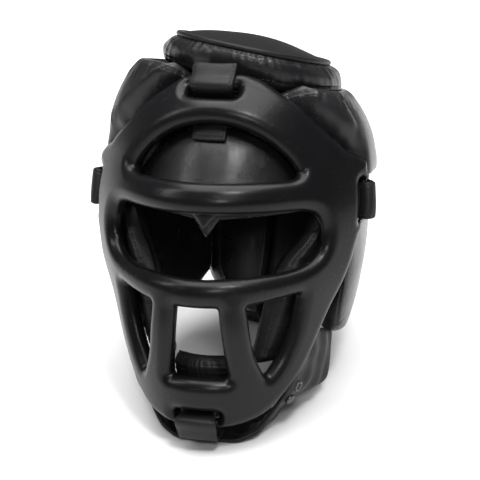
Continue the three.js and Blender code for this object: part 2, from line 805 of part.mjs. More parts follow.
function chinStrap() {
  const side = (depth) => (u, v) => {
    const s = 2 * u - 1;
    const out = facing((a, b) => jawPoint(s + a, v + b), 0, 0).multiplyScalar(-1);
    return jawPoint(s, v).addScaledVector(out, -depth);
  };
  return slab(steps(24), steps(4), side(0), side(jawLeather));
}

// Everything below the floor it rests on, in the guard's own upright frame
function floorBlock() {
  const level = chinRise * Math.cos(leanBack) + chinReach * Math.sin(leanBack) + restFlat;
  const size = 4 * cageHeight;
  const centre = new THREE.Vector3(0, -Math.sin(leanBack), Math.cos(leanBack)).setLength(size / 2);
  const lift = level / (size / 2) - 1;
  return boxAt(size, size, size, 0, centre.y * lift, centre.z * lift, 0, leanBack);
}

// Edges shorter than the finest detail are closed up after the cuts
const finest = 0.02;

function add(group, name, solid, look) {
  const data = solid.simplify(finest).getMesh();
  const geometry = new THREE.BufferGeometry();
  geometry.setAttribute('position', new THREE.BufferAttribute(new Float32Array(data.vertProperties), 3));
  geometry.setIndex(new THREE.BufferAttribute(new Uint32Array(data.triVerts), 1));
  geometry.computeVertexNormals();
  const mesh = new THREE.Mesh(geometry, new THREE.MeshStandardMaterial(look));
  mesh.name = name;
  group.add(mesh);
}

const guard = new THREE.Group();
const behindCage = cageShell(-2 * cageWall, cageWall + seatGap, edgeGap);
const underBand = crownBand(bandGap, -bandGap);
const belowFloor = floorBlock();
add(guard, 'face_cage', faceCage(), cageGrey);
add(guard, 'forehead_pad', foreheadPad().subtract(behindCage), leatherBlack);
add(guard, 'crown_band', crownBand(0, 0), leatherBlack);
add(guard, 'top_pad', topPad(), discBlack);
for (const [hand, word] of [[1, 'left'], [-1, 'right']]) {
  add(guard, `side_pad_${word}`, sidePad(hand).subtract(behindCage).subtract(underBand), leatherBlack);
  add(guard, `rear_pad_${word}`, rearPad(hand).subtract(underBand).subtract(belowFloor), leatherBlack);
  add(guard, `cheek_pad_${word}`, cheekPad(hand).subtract(behindCage), leatherBlack);
}
add(guard, 'chin_pad', chinPad().subtract(behindCage), leatherBlack);

add(guard, 'top_tab_strap', topTabStrap(), leatherBlack);
add(guard, 'chin_tab_strap', chinTabStrap().subtract(belowFloor), leatherBlack);
add(guard, 'temple_strap_left', templeStrap(1), leatherBlack);
add(guard, 'temple_strap_right', templeStrap(-1), leatherBlack);
add(guard, 'rear_strap', rearStrap(), leatherBlack);
add(guard, 'chin_strap', chinStrap().subtract(belowFloor), leatherBlack);

// It stands leaned back, on the jaw strap and the rear pads, over the middle of its floor
guard.rotation.x = -leanBack;
guard.updateMatrixWorld(true);
const reach = new THREE.Box3().setFromObject(guard, true);
const middle = reach.getCenter(new THREE.Vector3());
guard.position.set(-middle.x, -middle.y, -reach.min.z);

export default guard;
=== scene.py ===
import math

import bmesh
import bpy
import numpy as np
from mathutils import Matrix, Vector


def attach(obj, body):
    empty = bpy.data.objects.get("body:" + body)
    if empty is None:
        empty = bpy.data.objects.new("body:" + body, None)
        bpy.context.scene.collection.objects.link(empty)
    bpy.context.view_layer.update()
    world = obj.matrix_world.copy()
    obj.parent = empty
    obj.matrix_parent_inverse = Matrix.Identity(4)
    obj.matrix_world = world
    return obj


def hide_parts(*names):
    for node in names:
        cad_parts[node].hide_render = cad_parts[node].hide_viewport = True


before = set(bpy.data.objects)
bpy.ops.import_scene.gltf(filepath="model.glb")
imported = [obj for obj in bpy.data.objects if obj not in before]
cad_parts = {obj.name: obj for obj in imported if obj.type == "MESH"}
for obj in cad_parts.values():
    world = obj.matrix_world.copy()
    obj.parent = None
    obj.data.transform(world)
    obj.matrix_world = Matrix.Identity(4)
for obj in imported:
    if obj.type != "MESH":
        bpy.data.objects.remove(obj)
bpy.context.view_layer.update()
print("frame loaded")

# Everything is worked out in the guard's own upright frame, in millimetres: the face
# looks along -Y and z = 0 is the level of the cage's lower edge. Then it leans back.
rest = {"lean": math.radians(16.3735), "back": -66.0645, "down": -17.6633}
headCentre = 19.0


def toRest(points):
    # turned about X by the lean, moved over the middle of the floor, and put in metres
    c, s = math.cos(rest["lean"]), math.sin(rest["lean"])
    x, y, z = points[..., 0], points[..., 1], points[..., 2]
    return np.stack([x, y * c + z * s + rest["back"], z * c - y * s + rest["down"]], axis=-1) / 1000


def smooth(t):
    # 3tt - 2ttt between 0 and 1, level outside
    t = np.clip(t, 0, 1)
    return t * t * (3 - 2 * t)


def mix(a, b, t):
    return a + (b - a) * t


def unit(v):
    return v / np.maximum(np.linalg.norm(v, axis=-1, keepdims=True), 1e-9)


def hermite(t, span, start, end, leaving, arriving):
    # the cubic from start to end with a given slope at each
    return ((1 + 2 * t) * (1 - t) ** 2 * start + t * (1 - t) ** 2 * span * leaving
            + t * t * (3 - 2 * t) * end + t * t * (t - 1) * span * arriving)


def tableValue(table, column, at):
    # cubic through the rows, its slope at a row the harmonic mean of its neighbours'
    xs, ys = np.array(table["at"], float), np.array(table[column], float)
    slope = np.diff(ys) / np.diff(xs)
    product, total = slope[:-1] * slope[1:], slope[:-1] + slope[1:]
    middle = np.where(product > 0, 2 * product / np.where(total == 0, 1, total), 0)
    tangent = np.concatenate([slope[:1], middle, slope[-1:]])
    q = np.clip(at, xs[0], xs[-1])
    i = np.clip(np.searchsorted(xs, q, side="right") - 1, 0, len(xs) - 2)
    span = xs[i + 1] - xs[i]
    return hermite((q - xs[i]) / span, span, ys[i], ys[i + 1], tangent[i], tangent[i + 1])


# The cage and pad surfaces: the formulas of the solids, with the cage 2 mm wider on each side.
cage = {"halfWidth": 124.5, "reach": 123.0, "height": 280.0, "wall": 14.0, "sweep": 66.0}
cageSections = {
    "at": [-0.086, -0.017, 0.086, 0.223, 0.36, 0.497, 0.634, 0.771, 0.893, 1, 1.03],
    "width": [0.356, 0.534, 0.66, 0.757, 0.845, 0.957, 1, 0.958, 0.866, 0.723, 0.683],
    "reach": [0.492, 0.747, 0.886, 0.956, 1, 0.998, 0.957, 0.833, 0.675, 0.455, 0.393],
    "point": [1.14, 1.22, 1.35, 1.52, 1.69, 1.86, 2.03, 2.2, 2.2, 2.2, 2.2],
}
cageEdges = {
    "at": [0, 12, 20, 28, 36, 43, 48, 51, 54, 57, 59, 61, 63, 66],
    "low": [0.05, 0.05, 0.054, 0.064, 0.085, 0.125, 0.165, 0.2, 0.27, 0.36, 0.43, 0.575, 0.6, 0.612],
    "high": [1.007, 1.003, 0.99, 0.96, 0.92, 0.873, 0.84, 0.822, 0.8, 0.79, 0.785, 0.78, 0.772, 0.762],
}
pads = {"halfWidth": 99.0, "front": 96.0, "rear": 145.0, "crown": 292.0, "tilt": 4.4, "skew": 10.0,
        "shift": 4.0, "notch": 143.0, "clearance": 5.0, "overflow": 20.0, "behind": 30.0, "slack": 2.0,
        "coverAngle": 68.0, "coverFade": 18.0}
padMiddle = headCentre + (pads["rear"] - pads["front"]) / 2
padSections = {
    "at": [0, 0.15, 0.3, 0.45, 0.6, 0.72, 0.82, 0.91, 1],
    "rise": [0.15, 0.29, 0.43, 0.57, 0.7, 0.79, 0.86, 0.922, 0.962],
    "width": [0.77, 0.89, 0.97, 1, 1.05, 1.01, 0.94, 0.83, 0.73],
    "front": [0.85, 0.93, 0.98, 1, 0.87, 0.76, 0.64, 0.57, 0.5],
    "rear": [0.68, 0.83, 0.95, 1, 1, 0.98, 0.94, 0.89, 0.81],
}
sideEdges = {
    "at": [0, 20, 40, 55, 62, 66, 70, 74, 78, 84, 100, 125, 143],
    "low": [0.925, 0.905, 0.85, 0.78, 0.69, 0.64, 0.55, 0.42, 0.29, 0.25, 0.235, 0.25, 0.32],
}
rearEdges = {"at": [143, 152, 165, 180], "low": [0.32, 0.235, 0.172, 0.16]}


def cageFace(angle, z):
    # x = half width sin(angle), y = centre - reach cos(angle) to the section's power
    h, turn = z / cage["height"], np.radians(angle)
    ahead = np.cos(turn)
    x = cage["halfWidth"] * tableValue(cageSections, "width", h) * np.sin(turn)
    reach = cage["reach"] * tableValue(cageSections, "reach", h)
    point = tableValue(cageSections, "point", h)
    y = headCentre - reach * np.sign(ahead) * np.abs(ahead) ** point
    return np.stack(np.broadcast_arrays(x, y, z), axis=-1)


def outward(surface, a, b, da, db):
    # cross product of the surface's two slopes
    return unit(np.cross(surface(a + da, b) - surface(a - da, b), surface(a, b + db) - surface(a, b - db)))


def cageOut(angle, z):
    return outward(cageFace, angle, z, 0.4, 3.0)


def cageInset(angle, z, depth):
    # a point of the cage moved in by a depth
    angle, z = np.broadcast_arrays(np.asarray(angle, float), np.asarray(z, float))
    return cageFace(angle, z) - cageOut(angle, z) * np.asarray(depth)[..., None]


def cageLow(angle):
    return cage["height"] * tableValue(cageEdges, "low", np.abs(angle))


def cageHigh(angle):
    return cage["height"] * tableValue(cageEdges, "high", np.abs(angle))


def cageAngle(x, z):
    # the cage's angle where it passes through x at a height
    half = cage["halfWidth"] * tableValue(cageSections, "width", z / cage["height"])
    return np.degrees(np.arcsin(x / half))


def cageUnder(x, z, depth):
    return cageInset(cageAngle(x, z), z, depth)


def crownShare(rise):
    # how far the crown's tilt, skew and shift apply: from none at 62% of its height to all at 98%
    return smooth((rise / pads["crown"] - 0.62) / 0.36)


def crownTip(x, y, rise):
    # the lift that tilts the crown forward and skews it to one side
    tilt, skew = (math.tan(math.radians(pads[key])) for key in ("tilt", "skew"))
    return -crownShare(rise) * (tilt * (y - padMiddle) + skew * x)


def cageTurn(bearing):
    # the cage's own angle at a straight bearing, for a section of power 2
    slant = np.tan(np.radians(np.minimum(np.abs(bearing), 89)))
    safe = np.maximum(slant, 1e-6)
    return np.sign(bearing) * np.degrees(np.arcsin((np.sqrt(1 + 4 * safe * safe) - 1) / (2 * safe)))


def padFace(angle, t):
    # an oval section at each height that, under the cage, follows the cage's inside
    angle, t = np.broadcast_arrays(np.asarray(angle, float), np.asarray(t, float))
    rise = pads["crown"] * tableValue(padSections, "rise", t)
    ahead = np.cos(np.radians(angle))
    x = pads["halfWidth"] * tableValue(padSections, "width", t) * np.sin(np.radians(angle))
    front = pads["front"] * tableValue(padSections, "front", t)
    rear = pads["rear"] * tableValue(padSections, "rear", t)
    y = headCentre - np.where(ahead > 0, front, rear) * ahead
    free = np.stack([x + pads["shift"] * crownShare(rise), y, rise + crownTip(x, y, rise)], axis=-1)
    turn = cageTurn(np.clip(angle, -89, 89))
    beside = (np.abs(turn) - cage["sweep"]) * math.radians(1) * cage["halfWidth"]
    z = free[..., 2]
    beyond = np.maximum(z - cageHigh(turn), cageLow(turn) - z)
    past = np.maximum((beyond - pads["slack"]) / pads["overflow"], (beside - pads["slack"]) / pads["behind"])
    fade = 1 - smooth((np.abs(angle) - pads["coverAngle"]) / pads["coverFade"])
    cover = ((1 - smooth(past)) * fade)[..., None]
    return free * (1 - cover) + cageInset(turn, z, cage["wall"] + pads["clearance"]) * cover


def padOut(angle, t):
    return outward(padFace, angle, t, 1.0, 0.004)


def padInset(angle, t, depth):
    # a point of the pads' surface moved in by a depth
    angle, t = np.broadcast_arrays(np.asarray(angle, float), np.asarray(t, float))
    return padFace(angle, t) - padOut(angle, t) * np.asarray(depth)[..., None]


def shareAtRise(rise):
    # the share t of the pads' surface at a height
    t = np.linspace(0, 1, 400)
    return np.interp(rise, tableValue(padSections, "rise", t), t)


# How meshes are made.
def gridFaces(nv, nu, wrapU=False, start=0):
    # the quads of a grid of points, closed across its columns if asked for
    i = np.arange(nu if wrapU else nu - 1)
    j = np.arange(nv - 1)[:, None]
    k = (i + 1) % nu
    a, b, c, d = j * nu + i, j * nu + k, (j + 1) * nu + k, (j + 1) * nu + i
    return np.stack([a, b, c, d], axis=-1).reshape(-1, 4) + start


def closedFaces(nv, nu):
    # the quads of a grid closed in both directions
    return gridFaces(nv + 1, nu, wrapU=True) % (nv * nu)


def volumeOf(points, faceSets):
    # sum of the signed tetrahedra under each face
    total = 0.0
    for faces in faceSets:
        for k in range(1, faces.shape[1] - 1):
            a, b, c = points[faces[:, 0]], points[faces[:, k]], points[faces[:, k + 1]]
            total += np.einsum("ij,ij->", a, np.cross(b, c))
    return total


def placed(name, data):
    thing = bpy.data.objects.new(name, data)
    bpy.context.scene.collection.objects.link(thing)
    return thing


def makePiece(name, points, faceSets, material, node=None, values=None):
    # one mesh from points in the upright frame; faces turned out; borders merged
    place = toRest(points.reshape(-1, 3))
    if volumeOf(place - place.mean(0), faceSets) < 0:
        faceSets = [f[:, ::-1] for f in faceSets]
    sizes = np.concatenate([np.full(len(f), f.shape[1]) for f in faceSets])
    corners = np.concatenate([f.ravel() for f in faceSets]).astype(np.int32)
    mesh = bpy.data.meshes.new(name)
    mesh.vertices.add(len(place))
    mesh.vertices.foreach_set("co", place.astype(np.float32).ravel())
    mesh.loops.add(len(corners))
    mesh.loops.foreach_set("vertex_index", corners)
    mesh.polygons.add(len(sizes))
    mesh.polygons.foreach_set("loop_start", (np.cumsum(sizes) - sizes).astype(np.int32))
    mesh.polygons.foreach_set("use_smooth", np.ones(len(sizes), bool))
    mesh.update(calc_edges=True)
    for key, value in (values or {}).items():
        layer = mesh.attributes.new(key, "FLOAT", "POINT")
        layer.data.foreach_set("value", np.asarray(value, np.float32).ravel())
    work = bmesh.new()
    work.from_mesh(mesh)
    bmesh.ops.remove_doubles(work, verts=work.verts, dist=1e-6)
    work.to_mesh(mesh)
    work.free()
    mesh.validate()
    mesh.materials.append(material)
    piece = placed(name, mesh)
    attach(piece, "root")
    if node:
        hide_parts(node)
    print("made", name, len(mesh.polygons), "faces")
    return piece


def crowded(count, pull=0.85):
    # 0 to 1 with its steps crowded towards both ends
    s = np.linspace(0, 1, count)
    return mix(s, (1 - np.cos(np.pi * s)) / 2, pull)


def edgeDistances(grid):
    # lengths along both directions of a grid, and the distance to the nearer end of each
    along = np.linalg.norm(np.diff(grid, axis=1), axis=-1)
    up = np.linalg.norm(np.diff(grid, axis=0), axis=-1)
    runU = np.concatenate([np.zeros((grid.shape[0], 1)), np.cumsum(along, axis=1)], axis=1)
    runV = np.concatenate([np.zeros((1, grid.shape[1])), np.cumsum(up, axis=0)], axis=0)
    return runU, runV, np.minimum(runU, runU[:, -1:] - runU), np.minimum(runV, runV[-1:] - runV)


def roundOff(distance, radius):
    # height of a quarter circle a distance in from an edge
    return np.sqrt(np.maximum(1 - (1 - np.minimum(distance / radius, 1)) ** 2, 0))


def gridNormals(grid):
    # cross product of the grid's two steps
    du, dv = np.gradient(grid, axis=1), np.gradient(grid, axis=0)
    return unit(np.cross(du, dv))


def twoSkins(outer, inner, distances):
    # the points and faces of two grids that share their border, with the distance from the
    # nearer seam and the length run along it as attributes
    runU, runV, edgeU, edgeV = distances
    inner[0], inner[-1], inner[:, 0], inner[:, -1] = outer[0], outer[-1], outer[:, 0], outer[:, -1]
    nv, nu = outer.shape[:2]
    edge, run = np.minimum(edgeU, edgeV), np.where(edgeU < edgeV, runV, runU)
    return (np.concatenate([outer.reshape(-1, 3), inner.reshape(-1, 3)]),
            [gridFaces(nv, nu), gridFaces(nv, nu, start=nv * nu)[:, ::-1]],
            {"edge": np.concatenate([edge.ravel()] * 2), "run": np.concatenate([run.ravel()] * 2)})


def ripple(run, pitch, seed):
    # a wavy line whose pitch and height wander
    phase = 2 * np.pi * run / pitch
    return (np.sin(phase + 1.7 * np.sin(phase * 0.23 + seed)) * (0.6 + 0.4 * np.sin(phase * 0.31 + 2 * seed))
            + 0.4 * np.sin(phase * 1.73 + 3 * seed))


puff = {"power": 4, "reach": 9.0, "rise": 2.5, "height": 2.4, "slim": 5.0, "behind": 0.5}


def puckers(edge, run, look, seed):
    # ripples that start a little in from a seam and die away from it
    return (np.exp(-edge / puff["reach"]) * (1 - np.exp(-edge / puff["rise"]))
            * ripple(run, look["pitch"], seed))


def pillow(name, base, out, look, material, node):
    # two skins about the middle of a panel's thickness that meet along its border; the
    # outer one is crowned, puckered near its seams and softly uneven
    distances = runU, runV, edgeU, edgeV = edgeDistances(base)
    half, seed = look["thickness"] / 2, look["seed"]
    full = roundOff(edgeU, look["radius"]) * roundOff(edgeV, look["radius"])
    sizeU, sizeV = runU[:, -1:], runV[-1:]
    crownU = 1 - np.abs(2 * runU / np.maximum(sizeU, 1) - 1) ** puff["power"]
    crownV = 1 - np.abs(2 * runV / np.maximum(sizeV, 1) - 1) ** puff["power"]
    narrow = np.minimum(np.minimum(sizeU, sizeV) / (puff["slim"] * look["radius"]), 1)
    drop = look["drop"] * narrow * (1 - crownU * crownV)
    near = puckers(edgeV, runU, look, seed) + puckers(edgeU, runV, look, seed + 2)
    lumps = (np.sin(runU / 17 + seed + 0.8 * np.sin(runV / 23))
             * np.sin(runV / 21 + 2 * seed + 0.7 * np.sin(runU / 29)))
    detail = (puff["height"] * look["pucker"] * near + look["lumps"] * lumps) * full
    raised = look.get("raised", 0)
    outer = base + out * (detail - drop - half * (1 - full) + raised - look.get("pressed", 0))[..., None]
    inner = base - out * (half * (1 + full) + puff["behind"] * drop - raised)[..., None]
    points, faces, values = twoSkins(outer, inner, distances)
    return makePiece(name, points, faces, material, node, values)


# The materials.
class Socket:
    # a shader value that Python's operators can be used on
    def __init__(self, tree, link):
        self.tree, self.link = tree, link

    def node(self, kind, settings=None, inputs=None, output=0):
        made = self.tree.nodes.new(kind)
        for key, value in (settings or {}).items():
            setattr(made, key, value)
        for key, value in (inputs or {}).items():
            if isinstance(value, Socket):
                self.tree.links.new(value.link, made.inputs[key])
            else:
                made.inputs[key].default_value = value
        return Socket(self.tree, made.outputs[output])

    def maths(self, operation, first, second=0.0):
        return self.node("ShaderNodeMath", {"operation": operation}, {0: first, 1: second})

    def __add__(self, other):
        return self.maths("ADD", self, other)

    __radd__ = __add__

    def __sub__(self, other):
        return self.maths("SUBTRACT", self, other)

    def __rsub__(self, other):
        return self.maths("SUBTRACT", other, self)

    def __mul__(self, other):
        return self.maths("MULTIPLY", self, other)

    def between(self, low, high):
        # 0 at low, 1 at high, smooth in between
        return self.node("ShaderNodeMapRange", {"interpolation_type": "SMOOTHSTEP"},
                         {"Value": self, "From Min": low, "From Max": high})

    def noise(self, scale, detail, roughness=0.5, distortion=0.0):
        # noise over this vector
        return self.node("ShaderNodeTexNoise", None, {
            "Vector": self, "Scale": scale, "Detail": detail, "Roughness": roughness,
            "Distortion": distortion})

    def blend(self, first, second):
        # a colour between two, by this share
        return self.node("ShaderNodeMix", {"data_type": "RGBA"}, {0: self, 6: first, 7: second}, output=2)

    def into(self, shader, name):
        self.tree.links.new(self.link, shader.inputs[name])


def newMaterial(name, constants):
    material = bpy.data.materials.new(name)
    material.use_nodes = True
    shader = material.node_tree.nodes["Principled BSDF"]
    for key, value in constants.items():
        shader.inputs[key].default_value = value
    return material, shader, Socket(material.node_tree, None)


def surfaceNormal(shader, height, depth):
    bump = height.node("ShaderNodeBump", None, {"Strength": 1.0, "Distance": depth, "Height": height})
    bump.into(shader, "Normal")


def shades(look):
    return [(*look[key], 1) for key in ("dark", "light", "worn")]


stitch = {"pitch": 3.6, "depth": 0.9, "height": 1.1}


def leather(name, look):
    # fine grain cells, soft creases and cloudy wear, with a row of stitches near the seams
    material, shader, s = newMaterial(name, {"Specular IOR Level": look["specular"], "Coat Roughness": 0.25})
    dark, light, worn = shades(look)
    place = s.node("ShaderNodeTexCoord", output="Object")
    cells = s.node("ShaderNodeTexVoronoi", {"feature": "DISTANCE_TO_EDGE"},
                   {"Vector": place, "Scale": look["grain"]})
    creases = place.noise(55.0, 3.0, 0.55, 0.6)
    height = (cells.between(0.0, 0.16) * look["grainHeight"] + creases * look["creaseHeight"]
              + place.noise(420.0, 2.0) * 0.08)
    if "stitches" in look:
        # stitches this far in from a seam, in a furrow of their own
        edge = s.node("ShaderNodeAttribute", {"attribute_name": "edge"}, output="Fac")
        run = s.node("ShaderNodeAttribute", {"attribute_name": "run"}, output="Fac")
        aside = s.maths("ABSOLUTE", edge - look["stitches"])
        dash = s.maths("SINE", run * (2 * math.pi / stitch["pitch"])).between(-0.5, 0.1)
        thread = (1 - aside.between(0.25, 0.75)) * dash
        height = height - (1 - aside.between(0.5, 1.9)) * stitch["depth"] + thread * stitch["height"]
    shade = place.noise(14.0, 4.0, 0.6).between(0.3, 0.75)
    scuffs = place.noise(33.0, 6.0, 0.7).between(0.62, 0.78)
    (scuffs * look["wear"]).blend(shade.blend(dark, light), worn).into(shader, "Base Color")
    (look["roughness"] + shade * 0.1 + scuffs * 0.12 - creases * 0.06).into(shader, "Roughness")
    (look["coat"] + shade * 0.03).into(shader, "Coat Weight")
    surfaceNormal(shader, height, look["depth"])
    return material


def moulded(name, look):
    # satin plastic: faint orange peel, flow marks, dust and fine scratches
    material, shader, s = newMaterial(name, {"Specular IOR Level": look["specular"], "Coat Roughness": 0.3})
    dark, light, worn = shades(look)
    place = s.node("ShaderNodeTexCoord", output="Object")
    flow = place.noise(9.0, 3.0, distortion=0.8)
    streak = s.node("ShaderNodeMapping", None, {
        "Vector": place, "Rotation": (0.4, 0.3, 0.9), "Scale": (1.0, 16.0, 3.0)})
    scratch = streak.noise(60.0, 4.0).between(0.64, 0.7)
    dust = place.noise(150.0, 5.0).between(0.66, 0.75)
    marks = scratch * flow.between(0.45, 0.65) * 0.5 + dust * 0.3
    (marks * look["wear"]).blend(flow.between(0.3, 0.7).blend(dark, light), worn).into(shader, "Base Color")
    (look["roughness"] + flow * 0.1 + marks * 0.25).into(shader, "Roughness")
    (look["coat"] + flow * 0.05).into(shader, "Coat Weight")
    surfaceNormal(shader, place.noise(380.0, 2.0) * 0.25 + flow * 1.2 - scratch * 0.3, look["depth"])
    return material


def hide(**changes):
    # what the four leathers share, with what is their own
    return {"wear": 0.25, "depth": 0.00035, "coat": 0.0, "dark": (0.005, 0.005, 0.0055), **changes}


padLeather = leather("padLeather", hide(
    grain=900.0, grainHeight=0.12, creaseHeight=0.8, stitches=4.5, roughness=0.26, coat=0.03, specular=0.3,
    dark=(0.006, 0.006, 0.007), light=(0.011, 0.011, 0.012), worn=(0.035, 0.035, 0.037)))
innerLeather = leather("innerLeather", hide(
    grain=800.0, grainHeight=0.18, creaseHeight=0.9, stitches=4.0, roughness=0.45, specular=0.25,
    light=(0.009, 0.009, 0.010), worn=(0.02, 0.02, 0.021)))
strapLeather = leather("strapLeather", hide(
    grain=850.0, grainHeight=0.2, creaseHeight=0.8, stitches=2.6, roughness=0.4, coat=0.02, specular=0.2,
    light=(0.009, 0.009, 0.0098), worn=(0.03, 0.03, 0.032)))
discLeather = leather("discLeather", hide(
    grain=520.0, grainHeight=0.7, creaseHeight=0.6, roughness=0.66, specular=0.15,
    light=(0.010, 0.010, 0.011), worn=(0.03, 0.03, 0.032)))
cagePlastic = moulded("cagePlastic", {
    "dark": (0.0025, 0.0025, 0.003), "light": (0.0045, 0.0045, 0.0052), "worn": (0.03, 0.03, 0.032),
    "roughness": 0.24, "coat": 0.0, "specular": 0.19, "wear": 0.35, "depth": 0.0003})
snapMetal, snapShader, snapSocket = newMaterial(
    "snapMetal", {"Metallic": 1.0, "Base Color": (0.09, 0.09, 0.095, 1)})
snapWear = snapSocket.node("ShaderNodeTexCoord", output="Object").noise(900.0, 3.0)
(0.25 + snapWear * 0.25).into(snapShader, "Roughness")
print("materials made")

# The face cage.
windows = {"arcRadius": 79.0, "arcTop": 248.0, "arcBottom": 204.5, "eyeTop": 181.5, "eyeBottom": 132.5,
           "eyeHalf": 87.0, "lowerTop": 111.0, "lowerBottom": 54.5, "centreTop": 18.3, "centreBottom": 25.0}
# left, right, low, high and corner of each strap's slot; the temples' in degrees across
slots = {"top": (-24.5, 16.5, 264, 271, 3), "chin": (-20.5, 16.5, 20, 28, 3),
         "temple": (59.3, 61.6, 167, 199, 1)}
cageLook = {"half": 7.0, "rim": 7.0, "crown": 2.2, "crownReach": 10.0, "crownSunk": 0.6, "snap": 0.546,
            "cells": 223, "low": 8, "high": 286}


def roundedLoop(corners, perCorner=9):
    # closed outline whose corners are quadratic curves of a given reach
    points = []
    count = len(corners)
    for i, (x, z, radius) in enumerate(corners):
        here = np.array([x, z])
        ends = []
        for j in ((i - 1) % count, (i + 1) % count):
            way = np.array(corners[j][:2]) - here
            length = np.linalg.norm(way)
            ends.append(here + way / length * min(radius, 0.48 * length))
        t = np.linspace(0, 1, perCorner)[:, None]
        points.append((1 - t) ** 2 * ends[0] + 2 * t * (1 - t) * here + t * t * ends[1])
    return np.concatenate(points)


def slotLoop(left, right, low, high, radius):
    return roundedLoop([(x, z, radius) for x, z in ((left, low), (right, low), (right, high), (left, high))])


def densify(loop, step):
    # a closed outline with points no further apart than a step
    ends = np.roll(loop, -1, axis=0)
    counts = np.maximum(np.ceil(np.linalg.norm(ends - loop, axis=1) / step).astype(int), 1)
    return np.concatenate([a + (b - a) * (np.arange(n) / n)[:, None] for a, b, n in zip(loop, ends, counts)])


def windowLoops():
    # the outlines of the windows and slots, seen from the front: an arc over rounded corners
    # for the forehead, corners with their own reach for the rest
    w = windows
    centre = w["arcTop"] - w["arcRadius"]
    cornerZ = w["arcBottom"] + 5
    reach = math.asin((cornerZ - centre) / w["arcRadius"])
    side = w["arcRadius"] * math.cos(reach)
    turn = np.linspace(reach, np.pi - reach, 60)[1:-1]
    arc = np.stack([w["arcRadius"] * np.cos(turn), centre + w["arcRadius"] * np.sin(turn)], axis=1)
    t = np.linspace(0, 1, 9)[:, None]
    right = ((1 - t) ** 2 * [side - 8, w["arcBottom"]] + 2 * t * (1 - t) * [side + 1, w["arcBottom"]]
             + t * t * [side, cornerZ])
    left = right[::-1] * [-1, 1]
    forehead = np.concatenate([right, arc, left])
    e, lowZ, highZ = w["eyeHalf"], w["eyeBottom"], w["eyeTop"]
    half = [(e * 0.93, highZ, 14), (e * 1.01, mix(lowZ, highZ, 0.66), 13),
            (e * 0.985, mix(lowZ, highZ, 0.28), 9), (e * 0.83, mix(lowZ, highZ, 0.05), 16)]
    eye = roundedLoop(half + [(0, lowZ - 0.5, 20)] + [(-x, z, r) for x, z, r in half[::-1]])
    low, high = w["lowerBottom"], w["lowerTop"]
    centreWindow = roundedLoop([(-w["centreTop"], high, 3), (w["centreTop"], high, 3),
                                (w["centreBottom"], low, 4), (-w["centreBottom"], low, 4)])
    sides = [(38.5, high + 0.5, 2), (72.5, high + 6, 3), (67.5, mix(low, high, 0.6), 10),
             (59, mix(low, high, 0.2), 9), (50, low - 1, 4), (43.5, mix(low, high, 0.3), 8)]
    return [forehead, eye, centreWindow, roundedLoop(sides), roundedLoop([(-x, z, r) for x, z, r in sides]),
            slotLoop(*slots["top"]), slotLoop(*slots["chin"])]


def flatten(angle, z):
    # lengths along the surface: across from the front at a height, and up the middle
    steps = np.linspace(0, 1, 25)
    turns = angle[..., None] * steps
    line = cageFace(turns, np.broadcast_to(z[..., None], turns.shape))
    across = np.sign(angle) * np.linalg.norm(np.diff(line, axis=-2), axis=-1).sum(-1)
    heights = np.linspace(-30, 300, 600)
    middle = cageFace(np.zeros(600), heights)
    up = np.concatenate([[0], np.cumsum(np.linalg.norm(np.diff(middle, axis=0), axis=-1))])
    return np.stack([across, np.interp(z, heights, up)], axis=-1)


def signedDistance(points, loops, chunk=4000):
    # distance to the nearest segment of each outline, and whether a point is inside it
    distances, insides = [], []
    for loop in loops:
        a, b = loop, np.roll(loop, -1, axis=0)
        edge = b - a
        square = np.maximum((edge ** 2).sum(1), 1e-9)
        best, cross = np.full(len(points), 1e9), np.zeros(len(points), int)
        for k in range(0, len(points), chunk):
            p = points[k:k + chunk]
            t = np.clip(((p[:, None] - a) * edge).sum(-1) / square, 0, 1)
            gap = p[:, None] - a - t[..., None] * edge
            best[k:k + chunk] = np.sqrt((gap ** 2).sum(-1)).min(1)
            above = (a[:, 1] > p[:, 1:]) != (b[:, 1] > p[:, 1:])
            at = edge[:, 0] * (p[:, 1:] - a[:, 1]) / np.where(edge[:, 1] == 0, 1e-9, edge[:, 1]) + a[:, 0]
            cross[k:k + chunk] = (above & (p[:, :1] < at)).sum(1)
        distances.append(best)
        insides.append(cross % 2 == 1)
    return np.array(distances), np.array(insides)


def clipTriangles(triangles, depth):
    # keeps the parts of triangles where depth is not negative; new points lie on edges
    keep = depth >= 0
    inside = keep[triangles].sum(1)

    def turned(rows, first):
        return np.take_along_axis(rows, (first[:, None] + np.arange(3)) % 3, axis=1)

    one = triangles[inside == 1]
    one = turned(one, np.argmax(keep[one], axis=1))
    two = triangles[inside == 2]
    two = turned(two, np.argmin(keep[two], axis=1))
    pairs = np.concatenate([one[:, [0, 1]], one[:, [0, 2]], two[:, [1, 0]], two[:, [2, 0]]])
    unique, index = np.unique(np.sort(pairs, axis=1), axis=0, return_inverse=True)
    index = index.ravel() + len(depth)
    n, m = len(one), len(two)
    e01, e02 = index[:n], index[n:2 * n]
    f10, f20 = index[2 * n:2 * n + m], index[2 * n + m:]
    cut = [np.stack([one[:, 0], e01, e02], 1), np.stack([f10, two[:, 1], two[:, 2]], 1),
           np.stack([f10, two[:, 2], f20], 1)]
    share = depth[unique[:, 0]] / (depth[unique[:, 0]] - depth[unique[:, 1]])
    return np.concatenate([triangles[inside == 3]] + cut), unique, share


